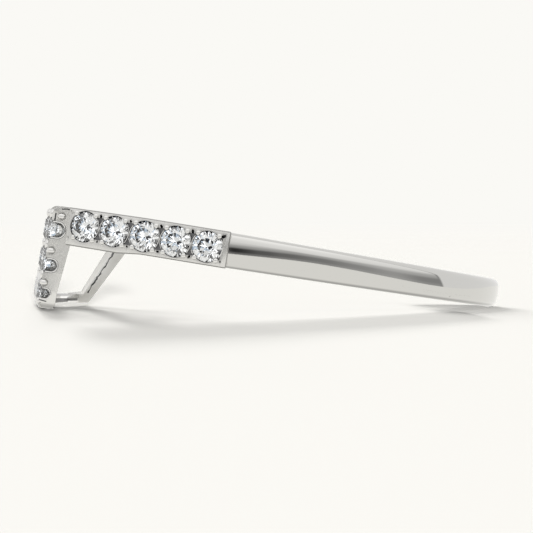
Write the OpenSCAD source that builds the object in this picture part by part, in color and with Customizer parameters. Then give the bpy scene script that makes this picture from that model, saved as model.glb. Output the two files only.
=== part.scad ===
// Curved wedding band with a notch in front, lying on its side.
// The finger axis is built along Z, with the notch towards -X, and the
// finished ring is then tipped onto its front rail and the back of its shank.

/* [Shank] */
// Inside diameter, which is the finger size
inner_d = 17; // [16:0.2:20]
// Thickness of the plain shank
shank_t = 1.4; // [1.3:0.05:1.7]
// Width of the shoulders, arms and rail
band_w = 1.6; // [1.56:0.02:1.8]
// Width of the shank at the back
back_w = 1.24; // [1.1:0.02:1.5]
// Radius of the rounded outer edges of the shank
edge_r = 0.36; // [0.2:0.02:0.45]

/* [Shoulders] */
// Angle from the side of the finger at which a shoulder leaves the round shank
leave_angle = 13; // [12:0.5:14]
// Plan radius of a shoulder's outer face
shoulder_r = 25; // [23:0.5:28]
// Thickness of a shoulder where it stands free of the finger
shoulder_t = 1.25; // [1.15:0.05:1.4]
// Distance in front of the finger axis at which a shoulder stands free
split_x = 6.4; // [6.2:0.1:6.8]

/* [Notch] */
// Half the distance between the centre lines of the two arms
arm_y = 5.85; // [5.8:0.05:6]
// Distance of the front face from the finger axis
front_x = 10.4; // [10.3:0.1:10.9]
// Thickness of the arms at the shoulders
arm_t = 1.08; // [1:0.02:1.2]
// Thickness of the rail
rail_t = 0.86; // [0.82:0.02:1]
// Drop of the rail's centre line below the middle of the band
rail_drop = 3; // [2.9:0.05:3.2]

/* [Gallery wire] */
// Thickness of the wire
wire_t = 0.6; // [0.5:0.05:0.65]
// Length of the wire along the finger, seen from the side
wire_w = 0.55; // [0.5:0.05:0.8]
// Distance of the wire's front edge from the finger axis at the top of the band
wire_top_x = 6.8; // [6.7:0.02:6.9]
// Height of the wire's low front arc
arc_h = 0.3; // [0.2:0.01:0.34]
// Width of the bridge between the front arc and the rail
bridge_w = 3.8; // [3:0.1:5]

/* [Stones] */
// Diameter of a shoulder stone
side_d = 1.34; // [1.28:0.01:1.35]
// Diameter of a stone on the arms and the rail
front_d = 1.24; // [1.18:0.01:1.24]
// Distance between shoulder stones
side_pitch = 1.44; // [1.42:0.01:1.45]
// Distance between stones on the arms
arm_pitch = 1.34; // [1.32:0.01:1.4]
// Stones on each shoulder
side_count = 5; // [3:1:5]
// Stones on the rail between the two corners
rail_count = 8; // [7:1:8]

/* [Hidden] */
inner_r = inner_d / 2;
outer_r = inner_r + shank_t;
half_w = band_w / 2;
arm_count = 3;
stone_count = 2 * side_count + 2 * arm_count + rail_count;
metal = "silver";
gem = "lightcyan";
reach = 40;
clear = 1;
over = 0.1;
fine = 96;
smooth = 180;
bead_fn = 32;

// Middle of a shoulder's plan arc, in front and near-side distances. The shoulders
// stand a little proud of the shank where they start.
shoulder_step = 0.03;
core_r = inner_r - 0.2;
turn = [for (v = [sin(leave_angle), cos(leave_angle)]) (outer_r + shoulder_step - shoulder_r) * v];
side_y = arm_y + half_w;
corner_angle = acos((side_y - turn.y) / shoulder_r);
side_step = side_pitch / shoulder_r * 180 / PI;
first_share = 0.56;
end_share = 0.12;
shank_end = turn.x + shoulder_r * sin(corner_angle - (side_count + end_share) * side_step);
shank_half = half_w - shoulder_step;
shank_slope = atan((shank_half - back_w / 2) / (outer_r + shank_end));

// Front bars, whose top is a little lower than the shoulders behind them
arm_dip = 0.08;
shoulder_drop = 0.11;
bar_top_r = 0.35;
arm_top = half_w - arm_dip;
bar_foot_r = 0.4;
arm_back = front_x - arm_t;
rail_back = front_x - rail_t;
rail_low = rail_drop + half_w;
corner_stone_z = -rail_drop;
rail_pitch = 2 * arm_y / (rail_count + 1);

// Gallery wire: its front edge runs straight down to the low arc, whose top is level
// when the ring rests and whose underside rises a little to the back. The wire is set
// back a little from the finger and gets narrower towards the arc.
wire_lean = 0.4375;
wire_r = inner_r + 0.2;
wire_root = 0.3;
root_h = 0.2;
wire_taper = 0.68;
arc_top = -2.95;
arc_foot = arc_top - arc_h;
arc_start = wire_x(arc_foot) - wire_taper * wire_w;
arc_rise = 4;
bridge_inset = 0.04;
bridge_ends = [inner_r + 0.3, rail_back + 0.2];

// Proportions of a round brilliant, as shares of its diameter
table_share = 0.57;
crown_share = 0.147;
girdle_share = 0.035;
pavilion_share = 0.43;
star_reach = 0.5;
lower_half_reach = 0.77;

// Setting: depth of the girdle under the metal face, and the play round a stone
set_depth = 0.05;
play = 0.018;
bead_play = 0.03;
side_bead_r = 0.15;
side_bead_turn = 48;
side_bead_out = 0.05;
front_bead_r = 0.2;
wall_bead_r = 0.13;
bead_side = 0.42;
corner_bead = 0.48;
wall_bead_in = 0.2;
wall_bead_step = 0.1;
wall_bead_drop = 0.12;
scallop_w = 0.62;
scallop_depth = 0.68;
scallop_bite = 0.38;

// Resting angle and height, from the round foot of the rail and the shank's edge
foot = [rail_back + bar_foot_r, bar_foot_r - rail_low, bar_foot_r];
heel = [edge_r - outer_r, edge_r - back_w / 2, edge_r];
stance = [foot.x - heel.x, foot.y - heel.y];
rest_tilt = atan2(-stance.y, stance.x) + asin((foot.z - heel.z) / norm(stance));
rest_z = foot.z - foot.x * sin(rest_tilt) - foot.y * cos(rest_tilt);
front_reach = front_x * cos(rest_tilt) + (rail_drop + bead_side) * sin(rest_tilt) + front_bead_r;
back_reach = -heel.x * cos(rest_tilt) - heel.y * sin(rest_tilt) + edge_r;
rest_x = (front_reach - back_reach) / 2;

// Places of the stones: front distance, side distance, height, turn, diameter.
// Turn is 0 for a stone that faces the front and 90 for one that faces the side.
shoulder_places = [for (side = [1, -1], i = [0 : side_count - 1])
    let (t = corner_angle - (i + first_share) * side_step)
    [turn.x + shoulder_r * sin(t), side * (turn.y + shoulder_r * cos(t)), 0, side * (90 - t), side_d]];
arm_places = [for (side = [1, -1], i = [1 : arm_count])
    [front_x, side * arm_y, corner_stone_z + (arm_count - i) * arm_pitch, 0, front_d]];
rail_places = [for (i = [1 : rail_count]) [front_x, arm_y - i * rail_pitch, corner_stone_z, 0, front_d]];
places = concat(shoulder_places, arm_places, rail_places);

// Moves from the ring's own frame, front towards -X, to where it rests
module at_rest() {
    translate([rest_x, 0, rest_z]) rotate([0, rest_tilt, 0]) rotate([0, 0, 180]) children();
}

// Puts a shape that points along +Z onto a stone's place
module at_place(p) {
    translate([p[0], p[1], p[2]]) rotate([0, 0, p[3]]) rotate([0, 90, 0]) children();
}

// Round brilliant, girdle edge at z = 0
module brilliant(d) {
    r = d / 2;
    table_r = table_share * r;
    half_turn = cos(22.5);
    star_r = table_r * half_turn + star_reach * (r - table_r * half_turn);
    crown_h = crown_share * d;
    star_z = crown_h * (r - star_r * half_turn) / (r - table_r);
    girdle_z = -girdle_share * d;
    culet_z = girdle_z - pavilion_share * d;
    low_r = (1 - lower_half_reach) * r;
    low_z = culet_z - low_r * half_turn / r * (culet_z - girdle_z);
    ring = function (n, radius, start, z) [for (k = [0 : n - 1])
        [radius * cos(start + k * 360 / n), radius * sin(start + k * 360 / n), z]];
    points = concat(ring(8, table_r, 0, crown_h), ring(8, star_r, 22.5, star_z),
        ring(16, r, 0, 0), ring(16, r, 0, girdle_z), ring(8, low_r, 22.5, low_z), [[0, 0, culet_z]]);
    table0 = 0;
    star0 = 8;
    top0 = 16;
    bottom0 = 32;
    low0 = 48;
    culet = 56;
    around = [0 : 7];
    faces = concat(
        [[for (k = [7 : -1 : 0]) table0 + k]],
        [for (k = around) [table0 + k, table0 + (k + 1) % 8, star0 + k]],
        [for (k = around) [table0 + k, star0 + k, top0 + 2 * k, star0 + (k + 7) % 8]],
        [for (k = around) [star0 + k, top0 + 2 * k + 1, top0 + 2 * k]],
        [for (k = around) [star0 + k, top0 + (2 * k + 2) % 16, top0 + 2 * k + 1]],
        [for (k = [0 : 15]) [top0 + k, top0 + (k + 1) % 16, bottom0 + (k + 1) % 16, bottom0 + k]],
        [for (k = around) [low0 + k, bottom0 + 2 * k, bottom0 + 2 * k + 1]],
        [for (k = around) [low0 + k, bottom0 + 2 * k + 1, bottom0 + (2 * k + 2) % 16]],
        [for (k = around) [culet, low0 + (k + 7) % 8, bottom0 + 2 * k, low0 + k]]);
    polyhedron(points, faces);
}

module stone(i) {
    p = places[i];
    color(gem) at_rest() at_place(p) translate([0, 0, -set_depth]) brilliant(p[4]);
}

// Hole for a stone: a cone under the girdle and a straight wall above it
module seat(p) {
    d = p[4];
    r = d / 2 + play;
    floor_z = -set_depth - girdle_share * d - play;
    tip_z = floor_z - pavilion_share * d - play;
    at_place(p) rotate_extrude($fn = fine) polygon([[0, tip_z], [r, floor_z], [r, clear], [0, clear]]);
}

// Room that the cut stone itself needs, taken out of the beads that hold it
module crown_room(p) {
    d = p[4];
    r = d / 2 + bead_play;
    top = crown_share * d + bead_play;
    at_place(p) translate([0, 0, -set_depth]) rotate_extrude($fn = fine)
        polygon([[0, -clear], [r, -clear], [r, bead_play], [table_share * d / 2, top], [0, top]]);
}

// Round notch in a side wall, which shows the stone from the side
module scallop(p, roll) {
    at_place(p) rotate([0, 0, roll]) translate([half_w - scallop_bite, 0, scallop_w / 2 - scallop_depth])
        rotate([90, 0, 90]) linear_extrude(clear) {
            circle(d = scallop_w, $fn = fine);
            translate([-scallop_w / 2, 0]) square([scallop_w, scallop_depth + clear]);
        }
}

// Plain shank: two rounded rings, each tipped by half the taper, meet in the middle
module shank() {
    intersection() {
        tipped_ring();
        mirror([0, 0, 1]) tipped_ring();
        translate([-reach, -reach, -reach]) cube([reach + shank_end, 2 * reach, 2 * reach]);
    }
}

module tipped_ring() {
    translate([shank_end, 0, shank_half]) rotate([0, -shank_slope, 0])
        translate([-shank_end, 0, -shank_half]) rotate_extrude($fn = smooth) {
            translate([core_r, -band_w]) square([outer_r - core_r - edge_r, band_w + shank_half]);
            translate([core_r, -band_w]) square([outer_r - core_r, band_w + shank_half - edge_r]);
            translate([outer_r - edge_r, shank_half - edge_r]) circle(edge_r, $fn = fine);
        }
}

// Shoulder seen along the finger: solid down to the finger, then a bar that stands free
module shoulder_plan() {
    difference() {
        intersection() {
            translate(turn) circle(shoulder_r, $fn = 2 * smooth);
            translate([shank_end - over, 0]) square([arm_back + arm_t / 2 - shank_end, reach]);
        }
        circle(core_r, $fn = smooth);
        intersection() {
            translate(turn) circle(shoulder_r - shoulder_t, $fn = 2 * smooth);
            translate([split_x, -clear]) square([reach, reach]);
        }
    }
}

// A shoulder deepens a little where it stands free
module shoulder() {
    intersection() {
        translate([0, 0, -band_w]) linear_extrude(2 * band_w) shoulder_plan();
        rotate([90, 0, 0]) translate([0, 0, -reach]) linear_extrude(reach) polygon([
            [0, half_w], [split_x, half_w], [front_x, half_w - arm_dip],
            [front_x, -half_w - shoulder_drop], [split_x + clear, -half_w - shoulder_drop],
            [split_x, -half_w], [0, -half_w]]);
    }
}

// Arms and rail: a U seen from the front, cut to the bars' outline seen from the side
module front_bars() {
    intersection() {
        rotate([90, 0, 90]) linear_extrude(front_x + clear) front_outline();
        rotate([90, 0, 0]) translate([0, 0, -reach]) linear_extrude(2 * reach) side_outline();
    }
}

module front_outline() {
    difference() {
        union() {
            translate([-side_y, -rail_drop]) square([2 * side_y, rail_drop + arm_top]);
            translate([-arm_y, -rail_low]) square([2 * arm_y, band_w]);
            for (side = [-1, 1]) translate([side * arm_y, -rail_drop]) circle(half_w, $fn = fine);
        }
        translate([half_w - arm_y, half_w - rail_drop]) square([2 * arm_y - band_w, reach]);
    }
}

module side_outline() {
    difference() {
        union() {
            translate([arm_back, 0]) square([arm_t, arm_top - bar_top_r]);
            translate([arm_back, 0]) square([arm_t - bar_top_r, arm_top]);
            translate([front_x - bar_top_r, arm_top - bar_top_r]) circle(bar_top_r, $fn = fine);
            translate([arm_back, bar_foot_r - rail_low]) square([arm_t, rail_low - bar_foot_r + over]);
            translate([rail_back + bar_foot_r, -rail_low]) square([rail_t - 2 * bar_foot_r, clear]);
            for (x = [rail_back + bar_foot_r, front_x - bar_foot_r])
                translate([x, bar_foot_r - rail_low]) circle(bar_foot_r, $fn = fine);
        }
        polygon([[arm_back - clear, -half_w], [arm_back, -half_w], [rail_back, -rail_drop],
            [rail_back, bar_foot_r - rail_low], [rail_back - clear, bar_foot_r - rail_low]]);
    }
}

// Plain wire that carries the ring on round the finger, under the notch
module gallery() {
    intersection() {
        translate([0, 0, -rail_low]) linear_extrude(rail_low + half_w) difference() {
            circle(wire_r + wire_t, $fn = smooth);
            circle(wire_r, $fn = smooth);
        }
        rotate([90, 0, 0]) translate([0, 0, -reach]) linear_extrude(2 * reach) wire_outline();
    }
    rotate([90, 0, 0]) translate([0, 0, -bridge_w / 2]) linear_extrude(bridge_w) polygon(concat(
        [for (x = bridge_ends) [x, top_at(x) - bridge_inset]],
        [for (i = [1, 0]) [bridge_ends[i], foot_at(bridge_ends[i]) + bridge_inset]]));
}

function wire_x(z) = wire_top_x + wire_lean * (half_w - z);

function top_at(x) = arc_top - (x - wire_x(arc_top)) * tan(rest_tilt);
function foot_at(x) = arc_foot - (x - arc_start) * tan(rest_tilt + arc_rise);

module wire_outline() {
    past = wire_r + wire_t + clear;
    root_z = root_h - half_w;
    polygon([[split_x - wire_root, half_w], [wire_x(half_w), half_w], [wire_x(arc_top), arc_top],
        [past, top_at(past)], [past, foot_at(past)], [arc_start, arc_foot],
        [wire_x(root_z) - wire_w, root_z], [split_x - wire_root, -half_w]]);
}

// Four small beads round each shoulder stone
module side_beads(p) {
    t = side_bead_turn;
    difference() {
        at_place(p) for (a = [-t, t, 180 - t, 180 + t]) rotate([0, 0, a + 90])
            translate([p[4] / 2 + side_bead_out, 0, 0]) sphere(side_bead_r, $fn = bead_fn);
        crown_room(p);
    }
}

// Beads that the stones of the front rows share, and smaller ones on the arms' outer walls
module front_bead(spot, r = front_bead_r) {
    difference() {
        translate([front_x, spot.x, spot.y]) sphere(r, $fn = bead_fn);
        for (p = concat(arm_places, rail_places))
            if (norm([p[1], p[2]] - spot) < front_d) crown_room(p);
    }
}

module beads() {
    for (p = shoulder_places) side_beads(p);
    for (side = [-1, 1]) {
        for (i = [1 : arm_count]) {
            z = corner_stone_z + (arm_count - i + 0.5) * arm_pitch;
            front_bead([side * (arm_y + bead_side), z]);
            if (i < arm_count) front_bead([side * (arm_y - bead_side), z]);
            depth = wall_bead_in + (arm_count - i) * wall_bead_step;
            translate([front_x - depth, side * side_y, z - wall_bead_drop])
                sphere(wall_bead_r, $fn = bead_fn);
        }
        front_bead([side * (arm_y + corner_bead), corner_stone_z - corner_bead], side_bead_r);
    }
    // the inner corners have no bead of their own: the arm's bead stands there
    for (i = [0 : rail_count], s = i == 0 || i == rail_count ? [-1] : [-1, 1])
        front_bead([arm_y - (i + 0.5) * rail_pitch, corner_stone_z + s * bead_side]);
}

module scallops() {
    for (p = arm_places) {
        scallop(p, p[1] > 0 ? 90 : -90);
        if (p[2] > corner_stone_z) scallop(p, p[1] > 0 ? -90 : 90);
        else scallop(p, 0);
    }
    for (p = rail_places, roll = [0, 180]) scallop(p, roll);
}

module band() {
    color(metal) at_rest() difference() {
        union() {
            difference() {
                union() {
                    shank();
                    for (side = [0, 1]) mirror([0, side, 0]) shoulder();
                    front_bars();
                    gallery();
                }
                for (p = places) seat(p);
                scallops();
            }
            beads();
        }
        translate([0, 0, -reach]) cylinder(h = 2 * reach, r = inner_r, $fn = smooth);
    }
}

band();
for (i = [0 : stone_count - 1]) stone(i);
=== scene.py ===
# Curved wedding band lying on its side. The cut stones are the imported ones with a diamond
# finish; the cast metal is dressed with its own smooth pieces, in the same places.
import random
from math import acos, asin, atan, cos, degrees, pi, radians, sin, sqrt, tan

import bmesh
import bpy
from mathutils import Matrix, Vector


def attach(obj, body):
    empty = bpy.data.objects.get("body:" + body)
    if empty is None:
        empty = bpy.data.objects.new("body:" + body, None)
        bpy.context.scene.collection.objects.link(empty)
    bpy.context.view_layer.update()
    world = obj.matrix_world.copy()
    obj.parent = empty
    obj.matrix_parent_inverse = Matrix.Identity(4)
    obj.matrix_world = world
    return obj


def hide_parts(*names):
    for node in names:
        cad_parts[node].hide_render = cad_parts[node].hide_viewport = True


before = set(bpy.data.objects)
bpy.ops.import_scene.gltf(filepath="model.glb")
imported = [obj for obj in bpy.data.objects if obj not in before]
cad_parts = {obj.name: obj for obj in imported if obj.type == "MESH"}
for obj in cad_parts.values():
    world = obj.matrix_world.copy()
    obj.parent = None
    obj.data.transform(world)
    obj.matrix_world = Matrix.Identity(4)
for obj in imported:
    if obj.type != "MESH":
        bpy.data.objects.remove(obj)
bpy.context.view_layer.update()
print("frame loaded, nodes:", len(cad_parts))

# How the ring rests. Pieces are drawn in millimetres: front, side, height along the finger.
rest = {"tilt": 9.27295, "x": 0.598979, "z": 2.15386}
toRest = (Matrix.Scale(0.001, 4) @ Matrix.Translation((rest["x"], 0, rest["z"]))
          @ Matrix.Rotation(radians(rest["tilt"]), 4, "Y") @ Matrix.Rotation(pi, 4, "Z"))

ring = {
    "insideRadius": 8.5,
    "outsideRadius": 9.9,
    "shoulderCentre": (-3.390, -14.684),  # front, side
    "shoulderRadius": 25.0,
    "shankEnd": 2.80,  # where the plain shank runs into the set shoulders
    "bandHalf": 0.8,  # half the width of the set part
    "armSide": 5.85,
    "frontFace": 10.4,
    "armTop": 0.72,
    "armBack": 9.42,
    "railBack": 9.66,
    "railDrop": 3.0,
    "railLow": 3.8,
}

edges = {
    "steps": 3,
    "bevelAngle": 35,  # an edge that turns by more than this is rounded
    "sharpAngle": 32,  # and one that turns by less than this is shaded smooth
    "normalWeight": 80,
}


# Small helpers

def spaced(low, high, steps):
    return [low + (high - low) * i / steps for i in range(steps + 1)]


def arc(centre, radius, start, stop, steps):
    turns = [radians(turn) for turn in spaced(start, stop, steps)]
    return [(centre[0] + radius * cos(t), centre[1] + radius * sin(t)) for t in turns]


def newObject(name, data):
    obj = bpy.data.objects.new(name, data)
    bpy.context.scene.collection.objects.link(obj)
    return obj


def newMesh(name, verts, faces):
    mesh = bpy.data.meshes.new(name)
    mesh.from_pydata([tuple(v) for v in verts], [], faces)
    bm = bmesh.new()
    bm.from_mesh(mesh)
    bmesh.ops.remove_doubles(bm, verts=bm.verts, dist=1e-5)
    bmesh.ops.recalc_face_normals(bm, faces=bm.faces)
    bm.to_mesh(mesh)
    bm.free()
    return newObject(name, mesh)


def removeMesh(obj):
    mesh = obj.data
    bpy.data.objects.remove(obj)
    bpy.data.meshes.remove(mesh)


def applyModifiers(obj):
    depsgraph = bpy.context.evaluated_depsgraph_get()
    done = bpy.data.meshes.new_from_object(obj.evaluated_get(depsgraph))
    obj.modifiers.clear()
    old = obj.data
    obj.data = done
    bpy.data.meshes.remove(old)


def softenEdges(obj, width):
    # the new faces along the edges get the edge material, a darker copy of the metal that paints shade along
    # the rounded edges
    obj.data.materials.append(paintedShadeEdgeGold)
    bevel = obj.modifiers.new("bevel", "BEVEL")
    bevel.material = len(obj.data.materials) - 1
    bevel.width = width
    bevel.segments = edges["steps"]
    bevel.limit_method = "ANGLE"
    bevel.angle_limit = radians(edges["bevelAngle"])
    bevel.miter_outer = "MITER_ARC"
    applyModifiers(obj)


def cut(obj, tools, operation="DIFFERENCE"):
    # the tools are used up, and a tool's material stays on the faces it leaves
    group = bpy.data.collections.new("tools")
    bpy.context.scene.collection.children.link(group)
    for tool in tools:
        group.objects.link(tool)
    boolean = obj.modifiers.new("cut", "BOOLEAN")
    boolean.operation = operation
    boolean.operand_type = "COLLECTION"
    boolean.collection = group
    boolean.solver = "EXACT"
    boolean.material_mode = "TRANSFER"
    applyModifiers(obj)
    for tool in tools:
        removeMesh(tool)
    bpy.data.collections.remove(group)


def join(objs, name):
    first = objs[0]
    bm = bmesh.new()
    for obj in objs:
        slots = []
        for material in obj.data.materials:
            if material.name not in first.data.materials:
                first.data.materials.append(material)
            slots.append(first.data.materials.find(material.name))
        if slots:
            for face in obj.data.polygons:
                face.material_index = slots[face.material_index]
        bm.from_mesh(obj.data)
    bm.to_mesh(first.data)
    bm.free()
    for obj in objs[1:]:
        removeMesh(obj)
    first.name = first.data.name = name
    return first


def lined(tool, material):
    tool.data.materials.append(material)
    return tool


def prism(name, outline, low, high, along):
    # outline is a closed list of points in the other two directions, along is front or side
    count = len(outline)
    if along == "front":
        verts = [(t, a, b) for t in (low, high) for a, b in outline]
    else:
        verts = [(a, t, b) for t in (low, high) for a, b in outline]
    faces = [list(range(count)), list(range(2 * count - 1, count - 1, -1))]
    faces += [[i, (i + 1) % count, count + (i + 1) % count, count + i] for i in range(count)]
    return newMesh(name, verts, faces)


def loft(name, rows):
    # closed rows of points with the same count, joined one after the other
    count = len(rows[0])
    verts = [point for row in rows for point in row]
    faces = [list(range(count)), list(range(len(verts) - count, len(verts)))[::-1]]
    for r in range(len(rows) - 1):
        for k in range(count):
            a, b = r * count + k, r * count + (k + 1) % count
            faces.append([a, b, b + count, a + count])
    return newMesh(name, verts, faces)


def lathe(name, profile, segments, matrix=Matrix.Identity(4)):
    # profile is a list of radius and height; it closes on the axis or on itself
    verts, faces = [], []
    for radius, height in profile:
        for k in range(segments):
            turn = 2 * pi * k / segments
            verts.append(matrix @ Vector((radius * cos(turn), radius * sin(turn), height)))
    for row in range(len(profile) - 1):
        for k in range(segments):
            a, b = row * segments + k, row * segments + (k + 1) % segments
            faces.append([a, b, b + segments, a + segments])
    return newMesh(name, verts, faces)


def tube(name, path, radius, sides=8):
    # round wire along a list of points; its ends get narrower a little past the path
    past, narrow = 0.7, 0.35
    points = [Vector(p) for p in path]
    start, stop = (points[0] - points[1]).normalized(), (points[-1] - points[-2]).normalized()
    points = [points[0] + start * radius * past] + points + [points[-1] + stop * radius * past]
    last = len(points) - 1
    rows, up = [], None
    for i, point in enumerate(points):
        tangent = (points[min(i + 1, last)] - points[max(i - 1, 0)]).normalized()
        if up is None:
            up = tangent.orthogonal().normalized()
        up = (up - tangent * up.dot(tangent)).normalized()
        right = tangent.cross(up)
        size = radius * (narrow if i in (0, last) else 1)
        turns = [2 * pi * k / sides for k in range(sides)]
        rows.append([point + (up * cos(t) + right * sin(t)) * size for t in turns])
    return loft(name, rows)


def finishPiece(obj, material):
    mesh = obj.data
    mesh.transform(toRest)
    if not mesh.materials:
        mesh.materials.append(material)
    mesh.polygons.foreach_set("use_smooth", [True] * len(mesh.polygons))
    mesh.set_sharp_from_angle(angle=radians(edges["sharpAngle"]))
    weighted = obj.modifiers.new("normals", "WEIGHTED_NORMAL")
    weighted.keep_sharp = True
    weighted.weight = edges["normalWeight"]
    applyModifiers(obj)
    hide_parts("band")
    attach(obj, "root")


# Where the stones sit. A place is front, side, height, turn in degrees and diameter.

stones = {
    "sideDiameter": 1.34,
    "frontDiameter": 1.24,
    "sidePitch": 1.44,
    "armPitch": 1.34,
    "sideCount": 5,
    "armCount": 3,
    "railCount": 8,
    "firstShare": 0.56,  # of a pitch, from the corner to the first shoulder stone
    "setDepth": 0.05,
    "play": 0.018,
    "girdleShare": 0.035,  # heights as shares of the diameter
    "pavilionShare": 0.43,
    "seatOpen": 0.5,
    "seatSides": 48,
}

centre = ring["shoulderCentre"]
sideFace = ring["armSide"] + ring["bandHalf"]
cornerAngle = degrees(acos((sideFace - centre[1]) / ring["shoulderRadius"]))
sideStep = degrees(stones["sidePitch"] / ring["shoulderRadius"])
railPitch = 2 * ring["armSide"] / (stones["railCount"] + 1)


def onShoulder(turn, depth=0):
    # front and side of a point on the shoulder's outer face, or under it
    radius, angle = ring["shoulderRadius"] - depth, radians(turn)
    return centre[0] + radius * sin(angle), centre[1] + radius * cos(angle)


def shoulderTurn(number):
    return cornerAngle - (number + stones["firstShare"]) * sideStep


shoulderPlaces = [(*onShoulder(shoulderTurn(i)), 0, 90 - shoulderTurn(i), stones["sideDiameter"])
                  for i in range(stones["sideCount"])]
armPlaces = []
for side in (1, -1):
    for i in range(1, stones["armCount"] + 1):
        height = -ring["railDrop"] + (stones["armCount"] - i) * stones["armPitch"]
        armPlaces.append((ring["frontFace"], side * ring["armSide"], height, 0, stones["frontDiameter"]))
railPlaces = []
for i in range(1, stones["railCount"] + 1):
    side = ring["armSide"] - i * railPitch
    railPlaces.append((ring["frontFace"], side, -ring["railDrop"], 0, stones["frontDiameter"]))


def atPlace(place):
    # local +Z points out of the metal
    front, side, height, turn, _ = place
    return (Matrix.Translation((front, side, height)) @ Matrix.Rotation(radians(turn), 4, "Z")
            @ Matrix.Rotation(radians(90), 4, "Y"))


def seatTool(place, material):
    diameter, play, high = place[4], stones["play"], stones["seatOpen"]
    radius = diameter / 2 + play
    floor = -stones["setDepth"] - stones["girdleShare"] * diameter - play
    tip = floor - stones["pavilionShare"] * diameter - play
    profile = [(0, tip), (radius, floor), (radius, high), (0, high)]
    return lined(lathe("seat", profile, stones["seatSides"], atPlace(place)), material)


# Materials

polishMarks = {"waveDetail": 2, "hairScale": 5200, "hairDetail": 4, "hairStretch": 9}


def nodeGroup(name, inputs, outputs):
    group = bpy.data.node_groups.new(name, "ShaderNodeTree")
    for label, value in inputs:
        socket = group.interface.new_socket(name=label, in_out="INPUT", socket_type="NodeSocketFloat")
        socket.default_value = value
    for label in outputs:
        group.interface.new_socket(name=label, in_out="OUTPUT", socket_type="NodeSocketFloat")
    return group, group.nodes.new("NodeGroupInput"), group.nodes.new("NodeGroupOutput")


def mathNode(tree, operation, *values):
    node = tree.nodes.new("ShaderNodeMath")
    node.operation = operation
    for socket, value in zip(node.inputs, values):
        if isinstance(value, (int, float)):
            socket.default_value = value
        else:
            tree.links.new(value, socket)
    return node.outputs[0]


def mixShaders(tree, share, first, second):
    # share 0 shows the first, 1 the second
    node = tree.nodes.new("ShaderNodeMixShader")
    for i, socket in enumerate((share, first, second)):
        tree.links.new(socket, node.inputs[i])
    return node.outputs[0]


def makePolish():
    # hand polish: faint waves, hairlines, and a little haze that comes and goes
    group, given, out = nodeGroup(
        "polish", [("Roughness", 0.06), ("Haze", 0.03), ("Wave size", 900.0), ("Hairlines", 0.3)],
        ["Roughness", "Height"])
    where = group.nodes.new("ShaderNodeTexCoord")
    wave = group.nodes.new("ShaderNodeTexNoise")
    wave.inputs["Detail"].default_value = polishMarks["waveDetail"]
    group.links.new(where.outputs["Object"], wave.inputs["Vector"])
    group.links.new(given.outputs["Wave size"], wave.inputs["Scale"])
    stretch = group.nodes.new("ShaderNodeMapping")
    stretch.inputs["Scale"].default_value = (1, 1, polishMarks["hairStretch"])
    group.links.new(where.outputs["Object"], stretch.inputs["Vector"])
    hair = group.nodes.new("ShaderNodeTexNoise")
    hair.inputs["Scale"].default_value = polishMarks["hairScale"]
    hair.inputs["Detail"].default_value = polishMarks["hairDetail"]
    group.links.new(stretch.outputs[0], hair.inputs["Vector"])
    haze = mathNode(group, "MULTIPLY", wave.outputs["Fac"], given.outputs["Haze"])
    group.links.new(mathNode(group, "ADD", haze, given.outputs["Roughness"]), out.inputs["Roughness"])
    lines = mathNode(group, "MULTIPLY", hair.outputs["Fac"], given.outputs["Hairlines"])
    group.links.new(mathNode(group, "ADD", lines, wave.outputs["Fac"]), out.inputs["Height"])
    return group


def makeUnderShade():
    # painted shade: the base colour darkens where the metal faces down, standing in for the dark gap under
    # the ring that it would see
    group, given, out = nodeGroup(
        "under shade", [("Under start", 0.6), ("Under full", 0.88), ("Under darkness", 0.5)], ["Shade"])
    facing = group.nodes.new("ShaderNodeNewGeometry")
    split = group.nodes.new("ShaderNodeSeparateXYZ")
    group.links.new(facing.outputs["Normal"], split.inputs[0])
    down = mathNode(group, "MULTIPLY", split.outputs["Z"], -1)
    spread = group.nodes.new("ShaderNodeMapRange")
    spread.interpolation_type = "SMOOTHSTEP"
    group.links.new(down, spread.inputs["Value"])
    group.links.new(given.outputs["Under start"], spread.inputs["From Min"])
    group.links.new(given.outputs["Under full"], spread.inputs["From Max"])
    dark = mathNode(group, "MULTIPLY", spread.outputs[0], given.outputs["Under darkness"])
    group.links.new(mathNode(group, "SUBTRACT", 1, dark), out.inputs["Shade"])
    return group


polish = makePolish()
underShade = makeUnderShade()

# Besides colour and bump, each value goes to the group input of the same name
bumpDistance = 0.00001
metals = {
    "polished": {"color": (0.67, 0.665, 0.645), "bump": 0.05,
                 "Roughness": 0.03, "Haze": 0.02, "Wave size": 500, "Hairlines": 0.1},
    "setting": {"color": (0.77, 0.765, 0.745), "bump": 0.25,
                "Roughness": 0.24, "Haze": 0.06, "Wave size": 1500, "Hairlines": 0.4},
    "bead": {"color": (0.78, 0.775, 0.76), "bump": 0.15,
             "Roughness": 0.05, "Haze": 0.04, "Wave size": 3000, "Hairlines": 0.3},
    # painted shade: a dark copy of the metal lines the seats, channel, pits, slots, slits, grooves and the
    # rings round the scallops
    "recess": {"color": (0.2, 0.2, 0.205), "bump": 0.3,
               "Roughness": 0.3, "Haze": 0.1, "Wave size": 4000, "Hairlines": 0.3},
    # painted shade: a darker copy of the metal for the rounded edges, shaded further where they face down
    "edge": {"color": (0.36, 0.355, 0.345), "bump": 0.2, "Under start": 0.2,
             "Roughness": 0.15, "Haze": 0.08, "Wave size": 2500, "Hairlines": 0.3},
    "scoop": {"color": (0.8, 0.8, 0.79), "bump": 0.4,
              "Roughness": 0.16, "Haze": 0.1, "Wave size": 3000, "Hairlines": 0.4},
    # painted shade: a dark copy of the metal for the bridge and the low arc's outward face
    "low": {"color": (0.30, 0.298, 0.30), "bump": 1.0,
            "Roughness": 0.12, "Haze": 0.1, "Wave size": 3500, "Hairlines": 1.0},
    # painted light: a lighter copy of the metal, brightened so that the wire's lower faces do not go dark;
    # the wall niches get it too
    "wire": {"color": (0.84, 0.835, 0.815), "bump": 0.1,
             "Roughness": 0.45, "Haze": 0.08, "Wave size": 900, "Hairlines": 0.3},
}


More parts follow.
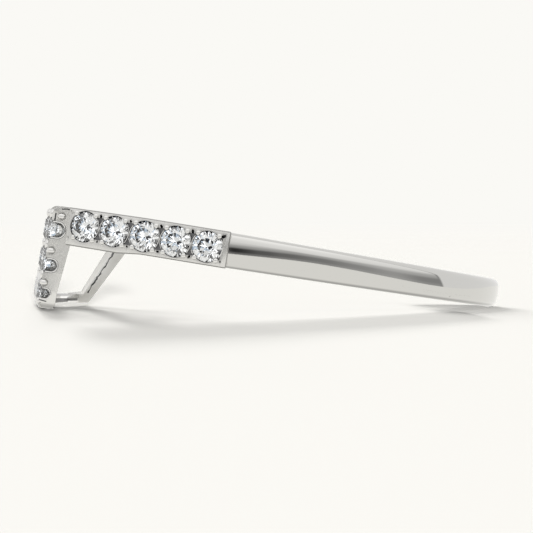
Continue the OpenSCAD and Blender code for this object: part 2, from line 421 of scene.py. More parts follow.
def goldMaterial(kind):
    look = metals[kind]
    material = bpy.data.materials.new(kind + " white gold")
    material.use_nodes = True
    tree = material.node_tree
    shader = tree.nodes["Principled BSDF"]
    shader.inputs["Metallic"].default_value = 1
    # every metal gets the under shade group, which paints shade into its base colour where it faces down
    under = tree.nodes.new("ShaderNodeGroup")
    under.node_tree = underShade
    finish = tree.nodes.new("ShaderNodeGroup")
    finish.node_tree = polish
    for socket in [*under.inputs, *finish.inputs]:
        if socket.name in look:
            socket.default_value = look[socket.name]
    shaded = tree.nodes.new("ShaderNodeMix")
    shaded.data_type = "RGBA"
    shaded.blend_type = "MULTIPLY"
    shaded.inputs["Factor"].default_value = 1
    shaded.inputs["A"].default_value = (*look["color"], 1)
    tree.links.new(under.outputs["Shade"], shaded.inputs["B"])
    tree.links.new(shaded.outputs["Result"], shader.inputs["Base Color"])
    tree.links.new(finish.outputs["Roughness"], shader.inputs["Roughness"])
    bump = tree.nodes.new("ShaderNodeBump")
    bump.inputs["Strength"].default_value = look["bump"]
    bump.inputs["Distance"].default_value = bumpDistance
    tree.links.new(finish.outputs["Height"], bump.inputs["Height"])
    tree.links.new(bump.outputs["Normal"], shader.inputs["Normal"])
    return material


shankGold = goldMaterial("polished")
settingGold = goldMaterial("setting")
beadGold = goldMaterial("bead")
paintedShadeRecessGold = goldMaterial("recess")
paintedShadeEdgeGold = goldMaterial("edge")
scoopGold = goldMaterial("scoop")
paintedShadeLowGold = goldMaterial("low")
paintedLightWireGold = goldMaterial("wire")

diamondLook = {"color": (0.97, 0.985, 1.0), "ior": 2.42}
diamond = bpy.data.materials.new("cut diamond")
diamond.use_nodes = True
diamondShader = diamond.node_tree.nodes["Principled BSDF"]
diamondShader.inputs["Base Color"].default_value = (*diamondLook["color"], 1)
diamondShader.inputs["Roughness"].default_value = 0
diamondShader.inputs["IOR"].default_value = diamondLook["ior"]
diamondShader.inputs["Transmission Weight"].default_value = 1
for name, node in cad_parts.items():
    if name.startswith("stone_"):
        node.data.materials.clear()
        node.data.materials.append(diamond)
        node.data.polygons.foreach_set("use_smooth", [False] * len(node.data.polygons))
print("materials ready")


# Plain shank

shank = {
    "edge": 0.36,
    "crown": 0.08,
    "crownDrop": 0.42,  # how far the crown's ridge sits below the middle, half-way to the back
    "dropFrom": -4,  # degrees behind the side of the finger where the ridge starts to sink
    "dropOver": 49,
    "backOver": 45,  # degrees before the back over which it comes up again
    "insideEdge": 0.08,
    "frontHalf": 0.77,
    "backHalf": 0.62,
    "widestAt": 2.82,
    "middleRadius": 9.2,
    "steps": 280,
    "crownSteps": 10,
    "edgeSteps": 9,
    "wallSteps": 3,
    "insideSteps": 4,
    "besideSeam": 1e-4,
    "lengths": [("nearShank", 0, 0.3), ("backShank", 0.3, 0.7), ("farShank", 0.7, 1)],
}


def shankCorner(half, ridge):
    # radius and height, from the ridge of the crown over the rounded edge to the middle of the inside
    outer, inner = ring["outsideRadius"], ring["insideRadius"]
    edge, small = shank["edge"], shank["insideEdge"]
    curve = shank["crown"] / half ** 2
    lean = atan(2 * curve * (half - edge - ridge))
    low = half - edge + edge * sin(lean)
    rises = spaced(0, low - ridge, shank["crownSteps"])
    points = [(outer - curve * rise ** 2, ridge + rise) for rise in rises]
    hub = points[-1][0] - edge * cos(lean)
    points += [(hub + edge * cos(t), half - edge + edge * sin(t))
               for t in spaced(lean, pi / 2, shank["edgeSteps"])[1:]]
    points += [(radius, half) for radius in spaced(hub, inner + small, shank["wallSteps"])[1:]]
    points += [(inner + small - small * sin(t), half - small + small * cos(t))
               for t in spaced(0, pi / 2, shank["insideSteps"])[1:]]
    return points + [(inner, height) for height in spaced(half - small, 0, shank["insideSteps"])[1:]]


def buildShank(name, start, stop):
    # start and stop are shares of the way round, from the near seam to the far one
    widest, radius = shank["widestAt"], shank["middleRadius"]
    slope = (shank["frontHalf"] - shank["backHalf"]) / (ring["outsideRadius"] + widest)
    seam = asin(ring["shankEnd"] / radius)
    # sections right beside the seams keep the shine even across them
    shares = spaced(start, stop, round((stop - start) * shank["steps"]))
    shares += [start + shank["besideSeam"], stop - shank["besideSeam"]]
    rows = []
    for share in sorted(shares):
        middle = -seam * (1 - share) + (pi + seam) * share
        half = shank["frontHalf"] - (widest + radius * sin(middle)) * slope
        fromSide = degrees(min(middle, pi - middle))
        sinking = max(0.0, (fromSide - shank["dropFrom"]) / shank["dropOver"])
        leaning = min(1.0, sinking, max(0.0, (90 - fromSide) / shank["backOver"]))
        ridge = -shank["crownDrop"] * leaning * leaning * (3 - 2 * leaning)
        section = shankCorner(half, ridge) + [(r, -h) for r, h in shankCorner(half, -ridge)[-2:0:-1]]
        row = []
        for out, height in section:
            swing = asin(ring["shankEnd"] / out)
            turn = -swing * (1 - share) + (pi + swing) * share
            row.append((-out * sin(turn), out * cos(turn), height))
        rows.append(row)
    return loft(name, rows)


for name, start, stop in shank["lengths"]:
    finishPiece(buildShank(name, start, stop), shankGold)
print("shank made")


# Set shoulders

shoulder = {
    "start": 2.72,
    "end": 9.72,
    "split": 6.4,  # in front of this the shoulder stands free of the finger
    "steps": 30,
    "thickness": 1.25,
    "frontDrop": 0.11,
    "softEdge": 0.05,
    "channelDepth": 0.1,
    "channelHalf": 0.47,
    "channelFlare": 0.05,
    "channelShort": 0.55,  # of a pitch, by which the channel ends before a sixth stone's place
    "channelSteps": 48,
    "pitRadius": 0.085,
    "pitDepth": 0.4,
    "pitHeight": 0.55,
    "pitSides": 5,
    "pitFoot": 0.7,
    "pitLength": 1.5,
    "highPits": (0.75, 1.1),  # range of their sizes
    "lowPits": (0.45, 0.8),
    "lastPitTurn": 0.1,
    "seed": 7,
    "over": 0.3,  # how far the cutting tools reach out of the metal
    "beadRadius": 0.125,
    "beadSpread": 48,
    "beadOut": 0.04,
    "rimRadius": 0.02,
    "rimOut": 0.014,
    "rimLift": 0.012,
    "rimSpread": 34,
    "rimSteps": 12,
}


def shoulderSection(front, free):
    ahead, past = front - centre[0], max(0.0, front - shoulder["split"])
    outer = centre[1] + sqrt(ring["shoulderRadius"] ** 2 - ahead ** 2)
    if free:
        inner = centre[1] + sqrt((ring["shoulderRadius"] - shoulder["thickness"]) ** 2 - ahead ** 2)
    else:
        inner = sqrt(ring["insideRadius"] ** 2 - front ** 2)
    dip = (ring["bandHalf"] - ring["armTop"]) / (ring["frontFace"] - shoulder["split"])
    top = ring["bandHalf"] - past * dip
    bottom = -ring["bandHalf"] - shoulder["frontDrop"] * min(1.0, past)
    return [(front, outer, bottom), (front, outer, top), (front, inner, top), (front, inner, bottom)]


def channelTool():
    # the metal between the stones is cut down a little along the middle of the row, and the cut is lined
    # with painted shade
    half, flare, rows = shoulder["channelHalf"], shoulder["channelFlare"], []
    start, stop = shoulderTurn(0), shoulderTurn(stones["sideCount"] - shoulder["channelShort"])
    for turn in spaced(start, stop, shoulder["channelSteps"]):
        low, high = onShoulder(turn, shoulder["channelDepth"]), onShoulder(turn, -shoulder["over"])
        rows.append([(*low, -half), (*low, half), (*high, half + flare), (*high, -half - flare)])
    return lined(loft("channel", rows), paintedShadeRecessGold)


def pitTools():
    # pits between the beads, at both edges, lined with painted shade
    chance, tools = random.Random(shoulder["seed"]), []
    depth, over = shoulder["pitDepth"], shoulder["over"]
    for i in range(stones["sideCount"] + 1):
        turn = shoulderTurn(i - 0.5) + (shoulder["lastPitTurn"] if i == stones["sideCount"] else 0)
        sizes = [chance.uniform(*shoulder[row]) for row in ("highPits", "lowPits")]
        for lift, size in zip((shoulder["pitHeight"], -shoulder["pitHeight"]), sizes):
            spot = atPlace((*onShoulder(turn), lift, 90 - turn, 0))
            spot = spot @ Matrix.Rotation(chance.uniform(0, 6), 4, "Z")
            spot = spot @ Matrix.Scale(shoulder["pitLength"], 4, (1, 0, 0))
            radius = shoulder["pitRadius"] * size
            profile = [(0, -depth), (radius * shoulder["pitFoot"], -depth), (radius, over), (0, over)]
            tools.append(lined(lathe("pit", profile, shoulder["pitSides"], spot), paintedShadeRecessGold))
    return tools


def buildShoulder():
    split, steps = shoulder["split"], shoulder["steps"]
    sections = [shoulderSection(f, False) for f in spaced(shoulder["start"], split, steps)]
    sections += [shoulderSection(f, True) for f in spaced(split, shoulder["end"], steps)]
    obj = lined(loft("shoulder", sections), settingGold)
    softenEdges(obj, shoulder["softEdge"])
    # the seats, channel and pits are lined with the painted shade of the recess metal
    cut(obj, [seatTool(p, paintedShadeRecessGold) for p in shoulderPlaces] + [channelTool()] + pitTools())
    return obj


grain = {"flatness": 0.9, "steps": 10, "sides": 16}


def bead(matrix, radius):
    # a pushed-up grain of metal: round on top, a little flattened
    flat = grain["flatness"] * radius
    turns = spaced(0, pi, grain["steps"])[1:-1]
    curve = [(radius * sin(t), -flat * cos(t)) for t in turns]
    return lathe("bead", [(0, -flat)] + curve + [(0, flat)], grain["sides"], matrix)


def shoulderTrim():
    # beads over each stone's edge and the bright rims left and right of it
    parts, spread, rimSpread = [], shoulder["beadSpread"], shoulder["rimSpread"]
    for place in shoulderPlaces:
        local = atPlace(place)
        reach = place[4] / 2 + shoulder["beadOut"]
        for angle in (90 - spread, 90 + spread, 270 - spread, 270 + spread):
            turn = radians(angle)
            spot = Matrix.Translation((reach * cos(turn), reach * sin(turn), 0))
            parts.append(bead(local @ spot, shoulder["beadRadius"]))
        radius = place[4] / 2 + stones["play"] + shoulder["rimOut"]
        for middle in (90, 270):
            curve = arc((0, 0), radius, middle - rimSpread, middle + rimSpread, shoulder["rimSteps"])
            path = [local @ Vector((x, y, shoulder["rimLift"])) for x, y in curve]
            parts.append(tube("rim", path, shoulder["rimRadius"]))
    return join(parts, "shoulderTrim")


def mirrored(obj, name):
    copy = newObject(name, obj.data.copy())
    copy.data.transform(Matrix.Scale(-1, 4, (0, 1, 0)))
    copy.data.flip_normals()
    return copy


nearShoulder, nearTrim = buildShoulder(), shoulderTrim()
farShoulder, farTrim = mirrored(nearShoulder, "farShoulder"), mirrored(nearTrim, "farTrim")
nearShoulder.name = "nearShoulder"
nearTrim.name = "nearTrim"
for piece in (nearShoulder, farShoulder):
    finishPiece(piece, settingGold)
for piece in (nearTrim, farTrim):
    finishPiece(piece, beadGold)
print("shoulders made")


# Arms and rail

notch = {
    "blockBack": 8.8,  # the block that the notch is cut from
    "blockSide": 7.2,
    "over": 0.3,  # how far the cutting tools reach out of the metal
    "curveSteps": 12,
    "roundSteps": 8,
    "topRound": 0.35,
    "footRound": 0.4,
    "heelRound": 0.28,
    "softEdge": 0.045,
    # scallops of an arm from the top: how far in, how far below the stone, radius
    "armScallops": [(0.31, 0.02, 0.305), (0.285, 0.24, 0.242), (0.22, 0.15, 0.192)],
    "railScallop": (0.37, 0.0, 0.31),
    "scallopBite": 0.5,
    "scallopEnd": [(0.5, 1), (0.85, 0.75), (1, 0.35)],  # share of the bite, share of the radius
    "scallopOut": 0.6,  # how far its tool reaches out of the wall and of the front
    "scallopUp": 1.0,
    "scallopSteps": 16,
    "rimGap": 0.045,  # from the scallop's edge to the middle of its lip
    "rimRadius": 0.03,
    "rimBite": 0.03,
    "rimSink": 0.02,
    "rimEnd": -0.08,  # where a lip ends under the front face
    "rimSteps": 18,
    "beadRadius": 0.2,
    "beadSide": 0.42,
    "beadRise": 0.7,  # scales the height of the front beads
    "cornerBead": 0.48,
    "cornerBeadRadius": 0.15,
    "wallBeads": [(10.0, 0.285), (10.22, -1.25), (10.31, -2.67)],  # front, height
    "wallBeadRadius": 0.15,
    "wallBeadLength": 1.25,
    "wallBeadSink": 0.02,
    "nicheSize": 1.3,  # of the wall bead in it
    "nicheDepth": 0.14,
    "nicheOut": 0.4,  # how far its tool reaches out of the front
    "slotStart": 1.5,
    "slotWidth": 0.07,
    "slotReach": (-0.36, 0.1),  # heights below and above the wall bead
    "slotDepth": 0.3,
    "slitDepth": 0.25,
    # thin slits in an arm's wall, as front and height: one over the top bead and two at the foot
    "slits": [[(9.6, 0.585), (9.8, 0.61), (10.04, 0.57), (10.04, 0.615), (9.8, 0.66), (9.6, 0.63)],
              [(10.06, -3.5), (10.5, -3.46), (10.5, -3.41), (10.06, -3.45)],
              [(10.24, -3.62), (10.5, -3.58), (10.5, -3.53), (10.28, -3.56)]],
    "splitHeight": -2.19,  # the arms end here and the rail starts
}


def scallops():
    # place, roll, and the numbers of the scallop
    found = []
    for i, place in enumerate(armPlaces):
        out = 90 if place[1] > 0 else -90
        found.append((place, out, notch["armScallops"][i % stones["armCount"]]))
        if place[2] > -ring["railDrop"]:
            found.append((place, -out, notch["railScallop"]))
    return found + [(p, roll, notch["railScallop"]) for p in railPlaces for roll in (0, 180)]


def scallopLocal(place, roll, drop):
    # local +X runs out through the wall, +Z out of the front face
    return Matrix.Translation((0, 0, -drop)) @ atPlace(place) @ Matrix.Rotation(radians(roll), 4, "Z")


def scallopTool(place, roll, scallop, wider, bite, material):
    # a round scoop that is open to the front and gets smaller inside the wall
    inward, drop, radius = scallop
    radius += wider
    local, rows = scallopLocal(place, roll, drop), []
    up, steps = notch["scallopUp"], notch["scallopSteps"]
    ends = [(notch["scallopOut"], 1)] + [(-bite * depth, size) for depth, size in notch["scallopEnd"]]
    for out, size in ends:
        wide = radius * size
        outline = arc((0, 0), wide, 180, 360, steps) + [(wide, up), (-wide, up)]
        rows.append([local @ Vector((ring["bandHalf"] + out, y, z - inward)) for y, z in outline])
    return lined(loft("scallop", rows), material)


def scallopRim(place, roll, scallop):
    # bright lip round a scallop, on the wall
    inward, drop, radius = scallop
    radius += notch["rimGap"]
    curve, end = arc((0, -inward), radius, 180, 360, notch["rimSteps"]), notch["rimEnd"]
    outline = [(-radius, end)] + curve + [(radius, end)]
    local, out = scallopLocal(place, roll, drop), ring["bandHalf"] - notch["rimSink"]
    return tube("rim", [local @ Vector((out, y, z)) for y, z in outline], notch["rimRadius"])


def wallBeadSpots():
    # front, side and height of the small beads on the arms' outer walls
    return [(front, side, height) for side in (1, -1) for front, height in notch["wallBeads"]]


def wallTool(name, outline, side, depth, material):
    # a straight cut into an arm's outer wall
    low, high = sorted((side * (sideFace - depth), side * (sideFace + notch["over"])))
    return lined(prism(name, outline, low, high, "side"), material)


def wallTools():
    tools, size = [], notch["wallBeadRadius"] * notch["nicheSize"]
    mouth, steps = ring["frontFace"] + notch["nicheOut"], notch["curveSteps"]
    for front, side, height in wallBeadSpots():
        niche = arc((front, height), size, 90, 270, steps)
        niche += [(mouth, height - size), (mouth, height + size)]
        # the niches get the lighter wire metal, painted light
        tools.append(wallTool("niche", niche, side, notch["nicheDepth"], paintedLightWireGold))
        start = front + notch["wallBeadRadius"] * notch["slotStart"]
        stop = start + notch["slotWidth"]
        low, high = (height + reach for reach in notch["slotReach"])
        slot = [(start, low), (stop, low), (stop, high), (start, high)]
        # slots and slits are lined with the painted shade of the recess metal
        tools.append(wallTool("slot", slot, side, notch["slotDepth"], paintedShadeRecessGold))
    for side in (1, -1):
        tools += [wallTool("slot", slit, side, notch["slitDepth"], paintedShadeRecessGold) for slit in notch["slits"]]
    return tools


def buildNotch():
    half, arm, drop, low = ring["bandHalf"], ring["armSide"], ring["railDrop"], ring["railLow"]
    top, face, armBack, railBack = ring["armTop"], ring["frontFace"], ring["armBack"], ring["railBack"]
    steps, fine, reach = notch["curveSteps"], notch["roundSteps"], notch["blockSide"]
    # as seen from the front
    outline = [(-arm - half, top)] + arc((-arm, -drop), half, 180, 270, steps)
    outline += arc((arm, -drop), half, 270, 360, steps) + [(arm + half, top), (arm - half, top)]
    outline += [(arm - half, half - drop), (half - arm, half - drop), (half - arm, top)]
    obj = lined(prism("notch", outline, notch["blockBack"], face + notch["over"], "front"), settingGold)
    # as seen from the side
    rounding, foot, heel = notch["topRound"], notch["footRound"], notch["heelRound"]
    side = [(armBack, top), (face - rounding, top)]
    side += arc((face - rounding, top - rounding), rounding, 90, 0, fine)[1:]
    side += arc((face - foot, foot - low), foot, 0, -90, fine)
    side += arc((railBack + heel, heel - low), heel, -90, -180, fine)
    side += [(railBack, -drop), (armBack, -half)]
    cut(obj, [lined(prism("side", side, -reach, reach, "side"), settingGold)], "INTERSECT")
    softenEdges(obj, notch["softEdge"])
    # this leaves a thin ring of painted shade round each scallop
    cut(obj, [scallopTool(*spot, 2 * notch["rimGap"], notch["rimBite"], paintedShadeRecessGold) for spot in scallops()])
    cut(obj, [seatTool(p, scoopGold) for p in armPlaces + railPlaces])
    cut(obj, [scallopTool(*spot, 0, notch["scallopBite"], scoopGold) for spot in scallops()])
    cut(obj, wallTools())
    return obj


def frontBeadSpots():
    # side, height and radius
    arm, drop, aside, radius = ring["armSide"], ring["railDrop"], notch["beadSide"], notch["beadRadius"]
    corner, spots = notch["cornerBead"], []
    for side in (1, -1):
        for i in range(1, stones["armCount"] + 1):
            height = -drop + (stones["armCount"] - i + 0.5) * stones["armPitch"]
            spots.append((side * (arm + aside), height, radius))
            if i < stones["armCount"]:
                spots.append((side * (arm - aside), height, radius))
        spots.append((side * (arm + corner), -drop - corner, notch["cornerBeadRadius"]))
    for i in range(stones["railCount"] + 1):
        spots += [(arm - (i + 0.5) * railPitch, -drop + lift, radius) for lift in (aside, -aside)]
    return spots


def notchTrim():
    parts = [scallopRim(*spot) for spot in scallops()]
    long = Matrix.Scale(notch["wallBeadLength"], 4, (1, 0, 0))
    for front, side, height in wallBeadSpots():
        spot = Matrix.Translation((front, side * (sideFace - notch["wallBeadSink"]), height))
        parts.append(bead(spot @ long, notch["wallBeadRadius"]))
    flat = Matrix.Rotation(radians(90), 4, "Y") @ Matrix.Scale(notch["beadRise"], 4, (0, 0, 1))
    for side, height, radius in frontBeadSpots():
        parts.append(bead(Matrix.Translation((ring["frontFace"], side, height)) @ flat, radius))
    return join(parts, "notchTrim")


def partOf(obj, name, height, keepUpper):
    # the share of a piece above or below a height, closed at the cut
    bm = bmesh.new()
    bm.from_mesh(obj.data)
    found = bmesh.ops.bisect_plane(bm, geom=bm.verts[:] + bm.edges[:] + bm.faces[:], plane_co=(0, 0, height),
                                   plane_no=(0, 0, 1), clear_inner=keepUpper, clear_outer=not keepUpper)
    rim = [e for e in found["geom_cut"] if isinstance(e, bmesh.types.BMEdge)]
    bmesh.ops.triangle_fill(bm, edges=rim, use_beauty=True)
    part = newObject(name, obj.data.copy())
    bm.to_mesh(part.data)
    bm.free()
    return part


notchFrame = buildNotch()
for name, keepUpper in (("arms", True), ("rail", False)):
    finishPiece(partOf(notchFrame, name, notch["splitHeight"], keepUpper), settingGold)
removeMesh(notchFrame)
finishPiece(notchTrim(), beadGold)
print("arms and rail made")


# Gallery wire and bridge

wire = {
    "over": 0.2,  # how far the cutting tools reach out of the metal
    "setBack": 0.2,
    "thickness": 0.6,
    "width": 0.55,
    "taper": 0.68,  # width at the low arc, as a share
    "topFront": 6.8,
    "lean": 0.4375,
    "rootBack": 6.1,
    "rootRise": 0.2,
    "arcTop": -2.95,
    "arcHeight": 0.3,
    "arcEnd": 10.5,
    "arcRise": 4,  # degrees by which the arc's underside slopes more than its top
    "blankHeights": (-4.6, 0.79),  # the tube that the wire is cut from
    "blankSide": 8,
    "blankSteps": 256,
    "softEdge": 0.06,
    "chamfer": 0.17,
    "lowChamfer": 0.55,  # of the upper one
    "chamferEdge": 0.03,
    "chamferTurn": 22,
    "chamferSteps": 40,
    "grooveFrom": -0.85,  # heights of the line of painted shade
    "grooveTo": -2.85,
    "grooveSteps": 24,
    "grooveBack": 0.08,
    "grooveWander": 0.025,
    "grooveHalf": (0.015, 0.045),
    "grooveDepth": 0.07,
    "seed": 5,
    "darkFrom": 8.64,  # in front of this the low arc's outward face gets painted shade, the dark low metal
    "darkFacing": 0.8,  # where it faces outwards by more than this
    "bridgeWidth": 3.8,
    "bridgeBack": 8.8,
    "bridgeSink": 0.2,  # how far it goes into the rail
    "bridgeChamfer": (8.5, 10.2),  # where its chamfers start and end, past both ends
    "bridgeInset": 0.04,
    "bridgeSoftEdge": 0.02,
}


def wireFront(height):
    return wire["topFront"] + wire["lean"] * (ring["bandHalf"] - height)


arcFoot = wire["arcTop"] - wire["arcHeight"]
arcStart = wireFront(arcFoot) - wire["taper"] * wire["width"]


def arcTopAt(front):
    return wire["arcTop"] - (front - wireFront(wire["arcTop"])) * tan(radians(rest["tilt"]))


def arcFootAt(front):
    return arcFoot - (front - arcStart) * tan(radians(rest["tilt"] + wire["arcRise"]))


def chamferTool(radius, heightAt, up):
    # a wedge along the low arc that takes its outer edge off; up is 1 at the top and -1 at the bottom
    size = wire["chamfer"] * (1 if up > 0 else wire["lowChamfer"])
    edge, over, rows = wire["chamferEdge"], wire["over"], []
    for angle in spaced(-wire["chamferTurn"], wire["chamferTurn"], wire["chamferSteps"]):
        turn, row = radians(angle), []
        for r, h in ((radius - size - edge, edge), (radius + over, edge), (radius + over, -size - over)):
            height = heightAt(radius * cos(turn)) + up * h
            row.append((r * cos(turn), r * sin(turn), height))
        rows.append(row)
    return lined(loft("chamfer", rows), beadGold)


def grooveTool(radius, side):
    # an uneven groove of painted shade down the front edge of a wire
    chance, rows = random.Random(wire["seed"]), []
    for height in spaced(wire["grooveFrom"], wire["grooveTo"], wire["grooveSteps"]):
        wander = chance.uniform(-wire["grooveWander"], wire["grooveWander"])
        front = wireFront(height) - wire["grooveBack"] + wander
        half = chance.uniform(*wire["grooveHalf"])
        out = sqrt(radius ** 2 - front ** 2)
        low, high = side * (out - wire["grooveDepth"]), side * (out + wire["over"])
        rows.append([(front - half, low, height), (front + half, low, height),
                     (front + half, high, height), (front - half, high, height)])
    return lined(loft("groove", rows), paintedShadeRecessGold)


def buildWire():
    half, top, back, end = ring["bandHalf"], wire["arcTop"], wire["rootBack"], wire["arcEnd"]
    root, (low, high) = wire["rootRise"] - half, wire["blankHeights"]
    # as seen from the side
    outline = [(back, half), (wireFront(half), half), (wireFront(top), top), (end, arcTopAt(end))]
    outline += [(end, arcFootAt(end)), (arcStart, arcFoot)]
    outline += [(wireFront(root) - wire["width"], root), (back, -half)]
    inner = ring["insideRadius"] + wire["setBack"]
    outer = inner + wire["thickness"]
    blank = [(inner, low), (outer, low), (outer, high), (inner, high), (inner, low)]
    # the wire is cut from the lighter wire metal, painted light
    obj = lined(lathe("gallery", blank, wire["blankSteps"]), paintedLightWireGold)
    shape = prism("outline", outline, -wire["blankSide"], wire["blankSide"], "side")
    cut(obj, [lined(shape, paintedLightWireGold)], "INTERSECT")
    cut(obj, [chamferTool(outer, arcTopAt, 1), chamferTool(outer, arcFootAt, -1)])
    softenEdges(obj, wire["softEdge"])
    cut(obj, [grooveTool(outer, 1), grooveTool(outer, -1)])
    # the low arc's outward face in front gets painted shade
    obj.data.materials.append(paintedShadeLowGold)
    for face in obj.data.polygons:
        outward = Vector((face.center.x, face.center.y, 0)).normalized().dot(face.normal)
        if face.center.x > wire["darkFrom"] and outward > wire["darkFacing"]:
            face.material_index = len(obj.data.materials) - 1
    return obj


def buildBridge():
    # joins the low arc to the rail; its faces get painted shade, the chamfers excepted
    half, size, inset = wire["bridgeWidth"] / 2, wire["chamfer"], wire["bridgeInset"]
    edge, over = wire["chamferEdge"], wire["over"]
    ends = (wire["bridgeBack"], ring["railBack"] + wire["bridgeSink"])
    outline = [(f, arcTopAt(f) - inset) for f in ends] + [(f, arcFootAt(f) + inset) for f in ends[::-1]]
    obj = lined(prism("bridge", outline, -half, half, "side"), paintedShadeLowGold)
    tools = []
    for side in (1, -1):
        rows = []
        inside, outside = side * (half - size - edge), side * (half + over)
        for front in wire["bridgeChamfer"]:
            top = arcTopAt(front) - inset
            rows.append([(front, inside, top + edge), (front, outside, top + edge),
                         (front, outside, top - size - over)])
        tools.append(lined(loft("chamfer", rows), beadGold))
    cut(obj, tools)
    softenEdges(obj, wire["bridgeSoftEdge"])
    return obj


finishPiece(join([buildWire(), buildBridge()], "gallery"), paintedLightWireGold)
print("gallery made")


# Floor and light

studio = {
    "backdrop": (0.956, 0.947, 0.913),
    "floorHalf": 4,  # metres
    "floorShade": 0.0691,
    "fadeStart": 0.25,  # metres from the ring, where the floor turns into the backdrop
    "fadeEnd": 0.9,
}


def buildFloor():
    half = studio["floorHalf"]
    corners = [(-half, -half, 0), (half, -half, 0), (half, half, 0), (-half, half, 0)]
    obj = newMesh("floor", corners, [[0, 1, 2, 3]])
    material = bpy.data.materials.new("pale floor")
    material.use_nodes = True
    tree = material.node_tree
    shader = tree.nodes["Principled BSDF"]
    shader.inputs["Base Color"].default_value = [c * studio["floorShade"] for c in studio["backdrop"]] + [1]
    shader.inputs["Roughness"].default_value = 1
    shader.inputs["Specular IOR Level"].default_value = 0
    glow = tree.nodes.new("ShaderNodeEmission")
    glow.inputs["Color"].default_value = (*studio["backdrop"], 1)
    place = tree.nodes.new("ShaderNodeNewGeometry")
    length = tree.nodes.new("ShaderNodeVectorMath")
    length.operation = "LENGTH"
    tree.links.new(place.outputs["Position"], length.inputs[0])
    fade = tree.nodes.new("ShaderNodeMapRange")
    fade.interpolation_type = "SMOOTHSTEP"
    fade.inputs["From Min"].default_value = studio["fadeStart"]
    fade.inputs["From Max"].default_value = studio["fadeEnd"]
    tree.links.new(length.outputs["Value"], fade.inputs["Value"])
    # the metal sees the floor evenly lit; only the camera sees the shade on it
    seen = tree.nodes.new("ShaderNodeLightPath")
    unseen = mathNode(tree, "SUBTRACT", 1, seen.outputs["Is Camera Ray"])
    plain = mathNode(tree, "MAXIMUM", unseen, fade.outputs[0])
    mixed = mixShaders(tree, plain, shader.outputs[0], glow.outputs[0])
    tree.links.new(mixed, tree.nodes["Material Output"].inputs["Surface"])
    obj.data.materials.append(material)


# The studio round the ring, painted by direction. Lift is the height over the floor and turn
# is 0 towards the camera, positive towards the back of the shank, both in degrees.
sky = {
    "tint": (1, 0.995, 0.985),
    "behind": 0.9,  # brightness behind the ring
    "seamAt": 0.05,  # where the front half of the tent ends
    "seamSoft": 0.02,
    "seamWidth": 0.025,
    "seamBlend": 0.1,
    "seam": 0.3,
    "lifts": (-2, 90),
    "turns": (-60, 100),
    # lift, brightness
    "front": [(-2, 0.55), (12, 0.72), (18, 0.97), (40, 1.04), (75, 1.22), (90, 1.3)],
    # lift, how much of the dark shows
    "darkBand": [(-2, 0.0), (1.5, 0.75), (4, 1), (7, 1), (10.5, 0.45), (14, 0)],
    # turn, brightness
    "darkShade": [(-60, 0.6), (-36, 0.25), (-26, 0.03), (-10, 0.13), (0, 0.18), (20, 0.25), (41, 0.34),
                  (62, 0.42), (82, 0.3)],
}

# What the stones gather: black gaps, pale cards and white cards, so that their facets part
sparkle = {
    "cells": 1.8,
    # from this share of the cells on, brightness, tint
    "cards": [(0, 0.014, (0.75, 0.9, 1.3)), (0.38, 0.75, (0.74, 0.88, 1.03)), (0.5, 1.75, (1, 1, 1))],
}


def ramp(tree, value, stops, ends):
    low, high = ends
    spread = tree.nodes.new("ShaderNodeMapRange")
    spread.inputs["From Min"].default_value = low
    spread.inputs["From Max"].default_value = high
    tree.links.new(value, spread.inputs["Value"])
    node = tree.nodes.new("ShaderNodeValToRGB")
    node.color_ramp.interpolation = "EASE"
    elements = node.color_ramp.elements
    while len(elements) < len(stops):
        elements.new(0.5)
    for element, (at, level) in zip(elements, stops):
        element.position = (at - low) / (high - low)
        element.color = (level, level, level, 1)
    tree.links.new(spread.outputs[0], node.inputs[0])
    return node.outputs[0]


def blend(tree, share, first, second):
    # first where share is 0, second where it is 1
    gap = mathNode(tree, "SUBTRACT", second, first)
    return mathNode(tree, "MULTIPLY_ADD", gap, share, first)


def paintTent(tree, direction):
    # how bright the tent is in each direction
    split = tree.nodes.new("ShaderNodeSeparateXYZ")
    tree.links.new(direction, split.inputs[0])
    across = split.outputs["Y"]
    towards = mathNode(tree, "MULTIPLY", across, -1)
    turn = mathNode(tree, "ARCTAN2", split.outputs["X"], towards)
    turn = mathNode(tree, "MULTIPLY", turn, 180 / pi)
    lift = mathNode(tree, "MULTIPLY", mathNode(tree, "ARCSINE", split.outputs["Z"]), 180 / pi)
    white = ramp(tree, lift, sky["front"], sky["lifts"])
    dark = ramp(tree, turn, sky["darkShade"], sky["turns"])
    front = blend(tree, ramp(tree, lift, sky["darkBand"], sky["lifts"]), white, dark)
    past = mathNode(tree, "DIVIDE", mathNode(tree, "SUBTRACT", across, sky["seamAt"]), sky["seamSoft"])
    past.node.use_clamp = True
    level = blend(tree, past, front, sky["behind"])
    off = mathNode(tree, "ABSOLUTE", mathNode(tree, "SUBTRACT", across, sky["seamAt"] + sky["seamSoft"] / 2))
    seam = mathNode(tree, "SUBTRACT", 1, mathNode(tree, "DIVIDE", off, sky["seamWidth"]))
    seam.node.use_clamp = True
    return blend(tree, mathNode(tree, "SMOOTH_MAX", seam, 0.0, sky["seamBlend"]), level, sky["seam"])


def hangCards(tree, direction):
    # cards of the three kinds in uneven cells round the ring
    cells = tree.nodes.new("ShaderNodeTexVoronoi")
    cells.inputs["Scale"].default_value = sparkle["cells"]
    tree.links.new(direction, cells.inputs["Vector"])
    chance = tree.nodes.new("ShaderNodeSeparateColor")
    tree.links.new(cells.outputs["Color"], chance.inputs[0])
    cards = tree.nodes.new("ShaderNodeValToRGB")
    cards.color_ramp.interpolation = "CONSTANT"
    elements = cards.color_ramp.elements
    elements.new(0.5)
    for element, (start, bright, tint) in zip(elements, sparkle["cards"]):
        element.position = start
        element.color = (*(c * bright for c in tint), 1)
    tree.links.new(chance.outputs[0], cards.inputs[0])
    return cards.outputs[0]


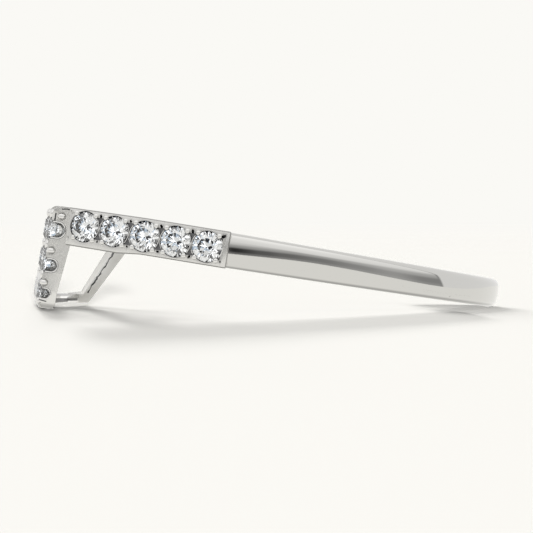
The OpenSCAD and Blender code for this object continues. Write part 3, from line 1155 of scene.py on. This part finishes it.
def buildWorld():
    world = bpy.data.worlds.new("studio")
    bpy.context.scene.world = world
    world.use_nodes = True
    tree = world.node_tree
    tree.nodes.clear()
    where = tree.nodes.new("ShaderNodeTexCoord")
    painted = tree.nodes.new("ShaderNodeBackground")
    painted.inputs["Color"].default_value = (*sky["tint"], 1)
    tree.links.new(paintTent(tree, where.outputs["Generated"]), painted.inputs["Strength"])
    facets = tree.nodes.new("ShaderNodeBackground")
    tree.links.new(hangCards(tree, where.outputs["Generated"]), facets.inputs["Color"])
    plain = tree.nodes.new("ShaderNodeBackground")
    plain.inputs["Color"].default_value = (*studio["backdrop"], 1)
    seen = tree.nodes.new("ShaderNodeLightPath")
    around = mixShaders(tree, seen.outputs["Is Transmission Ray"], painted.outputs[0], facets.outputs[0])
    mixed = mixShaders(tree, seen.outputs["Is Camera Ray"], around, plain.outputs[0])
    out = tree.nodes.new("ShaderNodeOutputWorld")
    tree.links.new(mixed, out.inputs["Surface"])


# Low soft lamps that only draw the long shadow on the floor: turn, lift, strength, spread in
# degrees, and the only pieces that block the lamp
foot = ["arms", "rail", "notchTrim", "gallery"]
nearSide = ["nearShank", "nearShoulder", "gallery", "rail"]
lowLamps = [
    (181.5, 6.3, 166, 9, foot + ["backShank"]),
    (180, 4.1, 155, 1.8, nearSide),
    (178, 20, 12, 12, ["backShank", "rail"]),
    (-0.2, 3.4, 160, 1.8, foot),
]


def buildLamps():
    for i, (turn, lift, strength, spread, blockers) in enumerate(lowLamps):
        light = bpy.data.lights.new(f"lowLamp{i}", "SUN")
        light.energy = strength
        light.angle = radians(spread)
        light.color = sky["tint"]
        obj = newObject(f"lowLamp{i}", light)
        a, e = radians(turn), radians(lift)
        towards = Vector((sin(a) * cos(e), -cos(a) * cos(e), sin(e)))
        obj.rotation_euler = towards.to_track_quat("Z", "Y").to_euler()
        obj.visible_glossy = False
        obj.visible_transmission = False
        pieces = bpy.data.collections.new(f"blockers{i}")
        for name in blockers:
            pieces.objects.link(bpy.data.objects[name])
        obj.light_linking.blocker_collection = pieces


buildFloor()
buildWorld()
buildLamps()
print("studio made")


# Camera at the photograph's angle

shot = {
    "distance": 250.0,
    "round": 3.0,  # degrees towards the notch
    "eyeHeight": 4.7264,
    "lens": 377.4,
    "sensor": 36,
    "aimSide": 0.131,  # degrees by which the aim goes left of the ring
    "aimDown": 0.675,
}


def buildCamera():
    data = bpy.data.cameras.new("camera")
    data.sensor_width = shot["sensor"]
    data.lens = shot["lens"]
    data.clip_start = 0.01
    data.clip_end = 20
    obj = newObject("camera", data)
    turn, away = radians(shot["round"]), shot["distance"]
    eye = Vector((rest["x"] - away * sin(turn), -away * cos(turn), shot["eyeHeight"]))
    obj.location = eye * 0.001
    aim = radians(shot["round"] - shot["aimSide"])
    direction = Vector((sin(aim), cos(aim), -tan(radians(shot["aimDown"]))))
    obj.rotation_euler = direction.to_track_quat("-Z", "Y").to_euler()
    bpy.context.scene.camera = obj


buildCamera()
view = bpy.context.scene.view_settings
view.view_transform = "Standard"
view.look = "None"
print("camera set")
